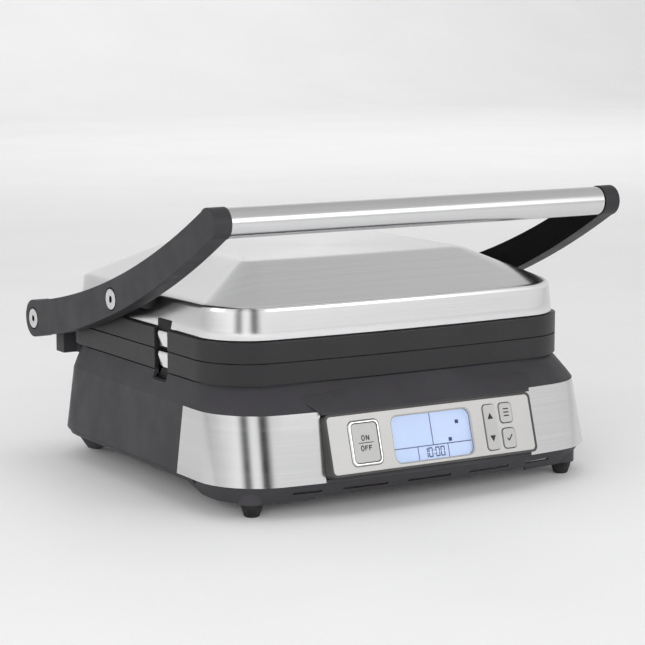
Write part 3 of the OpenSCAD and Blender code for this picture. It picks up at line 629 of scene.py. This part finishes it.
PANEL_LEAN = math.radians(16.7)
FACE_DEPTH = 0.8 * MM
across = Vector((1.0, 0.0, 0.0))
up_panel = Vector((0.0, math.sin(PANEL_LEAN), math.cos(PANEL_LEAN)))
out_panel = across.cross(up_panel)
low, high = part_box("control_fascia")
panel_middle = (low + high) / 2 + out_panel * FACE_DEPTH


def panel_point(u, v, w):
    """A point of the control panel: across, up its slope and out of its face, in millimetres."""
    return panel_middle + (across * u + up_panel * v + out_panel * w) * MM


def raised_marks(name, outlines, w, thickness, material, body):
    """Flat marks on the panel: each outline is (u, v) corners, raised by thickness."""
    points, faces = [], []
    for outline in outlines:
        first, n = len(points), len(outline)
        for level in (w, w + thickness):
            points.extend(tuple(panel_point(u, v, level)) for u, v in outline)
        faces.append(tuple(first + i for i in reversed(range(n))))
        faces.append(tuple(first + n + i for i in range(n)))
        for i in range(n):
            j = (i + 1) % n
            faces.append((first + i, first + j, first + n + j, first + n + i))
    obj = add_mesh(name, points, faces)
    dress(obj, material)
    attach(obj, body)


def bar(u0, u1, v0, v1):
    """An upright rectangle between two values of u and of v."""
    return [(u0, v0), (u1, v0), (u1, v1), (u0, v1)]


def block(u, v, half_width, half_height):
    """An upright rectangle round (u, v)."""
    return bar(u - half_width, u + half_width, v - half_height, v + half_height)


def stroke(a, b, width):
    """A straight stroke from a to b as a four-cornered outline."""
    a, b = Vector(a), Vector(b)
    along = b - a
    side = Vector((-along.y, along.x)).normalized() * width / 2
    return [tuple(p) for p in (a - side, b - side, b + side, a + side)]


def ring_outline(u, v, rx, ry, width, steps=28):
    """An elliptical band as a run of four-cornered outlines."""
    def at(i, grow):
        a = math.radians(360.0 * i / steps)
        return (u + (rx + grow) * math.cos(a), v + (ry + grow) * math.sin(a))
    half = width / 2
    return [[at(i + 1, -half), at(i + 1, half), at(i, half), at(i, -half)] for i in range(steps)]


def letter(kind, u, v, width, height, line):
    """Strokes of the capitals O, N and F, with their middle at (u, v)."""
    left, right, base, top = u - width / 2, u + width / 2, v - height / 2, v + height / 2
    if kind == "O":
        return ring_outline(u, v, width / 2, height / 2, line)
    if kind == "N":
        return [bar(left - line / 2, left + line / 2, base, top),
                bar(right - line / 2, right + line / 2, base, top),
                stroke((left, top), (right, base), line)]
    return [bar(left - line / 2, left + line / 2, base, top), bar(left, right, top - line, top),
            bar(left, right - 0.15 * width, v - line / 2, v + line / 2)]


def seven_segments(digit, u, v, width, height, line):
    """The lit bars of one display digit."""
    w, h, g = width / 2, height / 2, line * 0.25
    places = {
        "a": bar(u - w + g, u + w - g, v + h - line, v + h),
        "d": bar(u - w + g, u + w - g, v - h, v - h + line),
        "b": bar(u + w - line, u + w, v + g, v + h - g),
        "c": bar(u + w - line, u + w, v - h + g, v - g),
        "f": bar(u - w, u - w + line, v + g, v + h - g),
        "e": bar(u - w, u - w + line, v - h + g, v - g),
    }
    return [places[s] for s in {"0": "abcdef", "1": "bc"}[digit]]


# (u, v) of each key's middle, and how far the faces stand out of the panel, in millimetres
POWER, ROCKER, MENU, CONFIRM = (-55.8, -0.2), (48.4, -0.5), (62.4, 8.5), (62.4, -9.5)
POWER_FACE, KEY_FACE, SCREEN_FACE = 0.6, 0.8, -3.4
PRINT, THIN_PRINT = 0.03, 0.015
LETTER_WIDTH, LETTER_HEIGHT, LETTER_LINE = 2.1, 3.4, 0.74
TICK_LINE = 0.95


def key_marks(name, key, face, outlines, body):
    """Dark print on a key; the outlines are given round the key's middle."""
    placed = [[(key[0] + u, key[1] + v) for u, v in outline] for outline in outlines]
    raised_marks(name, placed, face, PRINT, mark_black, body)


on_off = [block(0.0, 0.0, 6.0, 0.27)]
for kind, u, v in (("O", -1.9, 3.3), ("N", 1.7, 3.3),
                   ("O", -3.3, -3.6), ("F", 0.1, -3.6), ("F", 3.2, -3.6)):
    on_off += letter(kind, u, v, LETTER_WIDTH, LETTER_HEIGHT, LETTER_LINE)
key_marks("power_button_marks", POWER, POWER_FACE, on_off, "power_button")

arrows = [[(-2.4, 5.8), (2.4, 5.8), (0.0, 10.3)], [(-2.4, -5.8), (0.0, -10.3), (2.4, -5.8)]]
key_marks("rocker_marks", ROCKER, KEY_FACE, arrows, "rocker_button")
raised_marks("rocker_middle_line", [block(*ROCKER, 3.6, 0.09)], KEY_FACE, THIN_PRINT, silver,
             "rocker_button")

three_bars = [block(0.0, v, 2.2, 0.45) for v in (-2.1, 0.3, 2.7)]
key_marks("menu_marks", MENU, KEY_FACE, three_bars, "menu_button")

tick = [stroke((-2.1, 0.1), (-0.6, -1.7), TICK_LINE), stroke((-0.75, -1.75), (2.3, 2.4), TICK_LINE)]
key_marks("confirm_marks", CONFIRM, KEY_FACE, tick, "confirm_button")

HALF_LINE = 0.32
SCREEN_LEFT, SCREEN_RIGHT, SCREEN_FOOT, SCREEN_TOP = -33.0, 32.2, -17.0, 15.0
ROW_V, TIME_V = -7.4, -12.2
DIGIT_WIDTH, DIGIT_HEIGHT, DIGIT_LINE = 3.5, 6.8, 0.8

screen_marks = [bar(SCREEN_LEFT, SCREEN_RIGHT, ROW_V - HALF_LINE, ROW_V + HALF_LINE)]
for u, foot, top in ((0.4, ROW_V, SCREEN_TOP), (-12.6, SCREEN_FOOT, ROW_V),
                     (12.4, SCREEN_FOOT, ROW_V)):
    screen_marks.append(bar(u - HALF_LINE, u + HALF_LINE, foot, top))
screen_marks += [block(u, v, 1.4, 1.3) for u, v in ((22.3, 6.8), (15.0, -4.8))]
for digit, u in (("1", -6.6), ("0", -2.6), ("0", 3.2), ("0", 7.4)):
    screen_marks += seven_segments(digit, u, TIME_V, DIGIT_WIDTH, DIGIT_HEIGHT, DIGIT_LINE)
screen_marks += [block(0.4, v, 0.4, 0.4) for v in (-10.8, -13.6)]
raised_marks("display_marks", screen_marks, SCREEN_FACE, PRINT, mark_blue, "base")


# ---- coil springs ----

STEPS_PER_TURN = 20


def helix(name, start, axis, length, coil_radius, wire_radius, turns, body, node):
    """A wire helix along axis from start, which stands for a spring's sleeve."""
    axis = axis.normalized()
    side = axis.orthogonal().normalized()
    other = axis.cross(side)
    curve = bpy.data.curves.new(name, "CURVE")
    curve.dimensions = "3D"
    curve.bevel_depth = wire_radius
    curve.bevel_resolution = 3
    steps = STEPS_PER_TURN * turns
    spline = curve.splines.new("POLY")
    spline.points.add(steps)
    for i, point in enumerate(spline.points):
        angle = 2 * math.pi * turns * i / steps
        travel = wire_radius + (length - 2 * wire_radius) * i / steps
        outward = side * math.cos(angle) + other * math.sin(angle)
        point.co = (*(start + axis * travel + outward * coil_radius), 1.0)
    obj = add_object(name, curve)
    for old in list(bpy.context.selected_objects):
        old.select_set(False)
    obj.select_set(True)
    bpy.context.view_layer.objects.active = obj
    bpy.ops.object.convert(target="MESH")
    obj = bpy.context.view_layer.objects.active
    dress(obj, spring_wire)
    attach(obj, body)
    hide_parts(node)
    return obj


LATCH_WIRE, LATCH_CLEARANCE, LATCH_TURNS = 0.42 * MM, 0.45 * MM, 5
RELEASE_WIRE, RELEASE_RADIUS, RELEASE_TURNS = 0.24 * MM, 1.4 * MM, 7
RELEASE_LENGTH = 7.7 * MM

for node, body, joint in (("lower_latch_spring", "base", "lower_latch_press"),
                          ("upper_latch_spring", "lid", "upper_latch_press")):
    low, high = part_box(node)
    middle = (low + high) / 2
    coil = helix(node + "_coil", Vector((low.x, middle.y, middle.z)), Vector((1, 0, 0)),
                 high.x - low.x, (high.z - low.z) / 2 - LATCH_CLEARANCE, LATCH_WIRE, LATCH_TURNS,
                 body, node)
    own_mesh(coil)

slide = [j for j in frame["joints"] if j["name"] == "release_slide"][0]
back = Vector(slide["axis"])
low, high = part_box("release_spring")
half_spring = back * RELEASE_LENGTH / 2
front_end, back_end = (low + high) / 2 - half_spring, (low + high) / 2 + half_spring
coil = helix("release_spring_coil", front_end, back, RELEASE_LENGTH, RELEASE_RADIUS, RELEASE_WIRE,
             RELEASE_TURNS, "arms", "release_spring")
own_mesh(coil)


# ---- studio ----

FLOOR_REACH, BEND_RADIUS, BACKDROP_HEIGHT, BEND_STEPS = 6.0, 1.5, 4.0, 16


def stage_floor():
    """A pale floor that turns up into a backdrop a long way behind the object."""
    bend_y = FLOOR_REACH - BEND_RADIUS
    profile = [(-FLOOR_REACH, 0.0), (bend_y, 0.0)]
    for i in range(1, BEND_STEPS + 1):
        a = math.pi / 2 * i / BEND_STEPS
        y, z = BEND_RADIUS * math.sin(a), BEND_RADIUS - BEND_RADIUS * math.cos(a)
        profile.append((bend_y + y, z))
    profile.append((FLOOR_REACH, BACKDROP_HEIGHT))
    points = [(x, y, z) for y, z in profile for x in (-FLOOR_REACH, FLOOR_REACH)]
    faces = [(2 * i, 2 * i + 1, 2 * i + 3, 2 * i + 2) for i in range(len(profile) - 1)]
    obj = add_mesh("floor", points, faces)
    shade_smooth(obj.data)
    dress(obj, pale_floor("pale_floor"))


def area_light(name, place, target, width, height, power, mirrored):
    """A softbox aimed at target; when not mirrored, it lights things but has no reflection."""
    light = bpy.data.lights.new(name, "AREA")
    light.shape = "RECTANGLE"
    light.size, light.size_y = width, height
    light.energy = power
    obj = add_object(name, light)
    obj.location = place
    obj.rotation_euler = (Vector(target) - Vector(place)).to_track_quat("-Z", "Y").to_euler()
    obj.visible_glossy = mirrored


WORLD_STRENGTH = 0.86
# (sine of the angle above the horizon, brightness)
WORLD_HEIGHTS = [(0.0, 1.12), (0.20, 1.15), (0.42, 1.0), (0.72, 0.82), (0.93, 0.88), (1.0, 0.92)]
# (degrees from the camera's bearing, brightness); the two dim bands show in the bright metal
CAMERA_BEARING = -31.3
NEAR_BANDS = [(-28, 1.2), (-19, 0.05), (-13, 0.05), (-7, 1.15), (6, 1.15), (10, 0.0), (19, 0.0),
              (29, 1.0)]
# (bearing in degrees, brightness), to the left and the right of those
LEFT_BEARINGS = [(-180, 0.7), (-140, 0.55), (-90, 0.85)]
RIGHT_BEARINGS = [(35, 0.86), (100, 0.8), (150, 0.7)]


def studio_world():
    """Soft surroundings: pale near the horizon, greyer above, with two dim upright bands."""
    world = bpy.data.worlds.new("studio")
    bpy.context.scene.world = world
    world.use_nodes = True
    g = Graph(world.node_tree)
    way = g.parts(g.add("ShaderNodeTexCoord").outputs["Generated"])
    height = g.ramp(way["Z"], *WORLD_HEIGHTS)
    bearing = g.math("ARCTAN2", way["X"], g.math("MULTIPLY", way["Y"], -1.0))
    turn = g.math("MULTIPLY_ADD", bearing, 0.5 / math.pi, 0.5)
    near = [(CAMERA_BEARING + degrees, value) for degrees, value in NEAR_BANDS]
    bearings = LEFT_BEARINGS + near + RIGHT_BEARINGS
    around = g.ramp(turn, *[(degrees / 360.0 + 0.5, value) for degrees, value in bearings])
    background = g.tree.nodes["Background"]
    g.link(g.mix(1.0, height, around, "MULTIPLY"), background.inputs["Color"])
    background.inputs["Strength"].default_value = WORLD_STRENGTH


CAMERA_PLACE = (-0.8074, -1.3331, 0.3408)
CAMERA_DIP, CAMERA_TURN = 8.61, -31.32
SENSOR_WIDTH, FOCAL_LENGTH = 36.0, 117.8


def photo_camera():
    """The camera that matches the photo, looking slightly down at the left front corner."""
    data = bpy.data.cameras.new("camera")
    data.sensor_width = SENSOR_WIDTH
    data.lens = FOCAL_LENGTH
    data.clip_start, data.clip_end = 0.05, 50.0
    obj = add_object("camera", data)
    obj.location = CAMERA_PLACE
    obj.rotation_euler = (math.radians(90.0 - CAMERA_DIP), 0.0, math.radians(CAMERA_TURN))
    bpy.context.scene.camera = obj


# name: place and target in metres, width and height in metres, power in watts, mirrored
LIGHTS = {
    "top_softbox": ((0.1, 0.2, 1.9), (0.0, 0.0, 0.1), 1.4, 1.4, 9.0, False),
    "front_softbox": ((0.9, -1.9, 0.9), (0.0, 0.0, 0.08), 1.1, 0.9, 4.0, True),
    "left_softbox": ((-1.9, 0.2, 0.8), (0.0, 0.0, 0.1), 1.0, 1.0, 4.0, True),
    "fill": ((-2.4, -2.8, 1.1), (0.0, 0.0, 0.0), 2.4, 1.4, 60.0, False),
    "low_front": ((-0.5, -1.9, 0.5), (0.0, -0.15, 0.0), 1.6, 0.5, 7.0, False),
    "backdrop": ((2.2, 2.8, 2.8), (3.2, 5.0, 0.0), 3.4, 3.4, 52.0, False),
}

stage_floor()
studio_world()
photo_camera()
for name, settings in LIGHTS.items():
    area_light(name, *settings)
bpy.context.scene.view_settings.view_transform = "Standard"
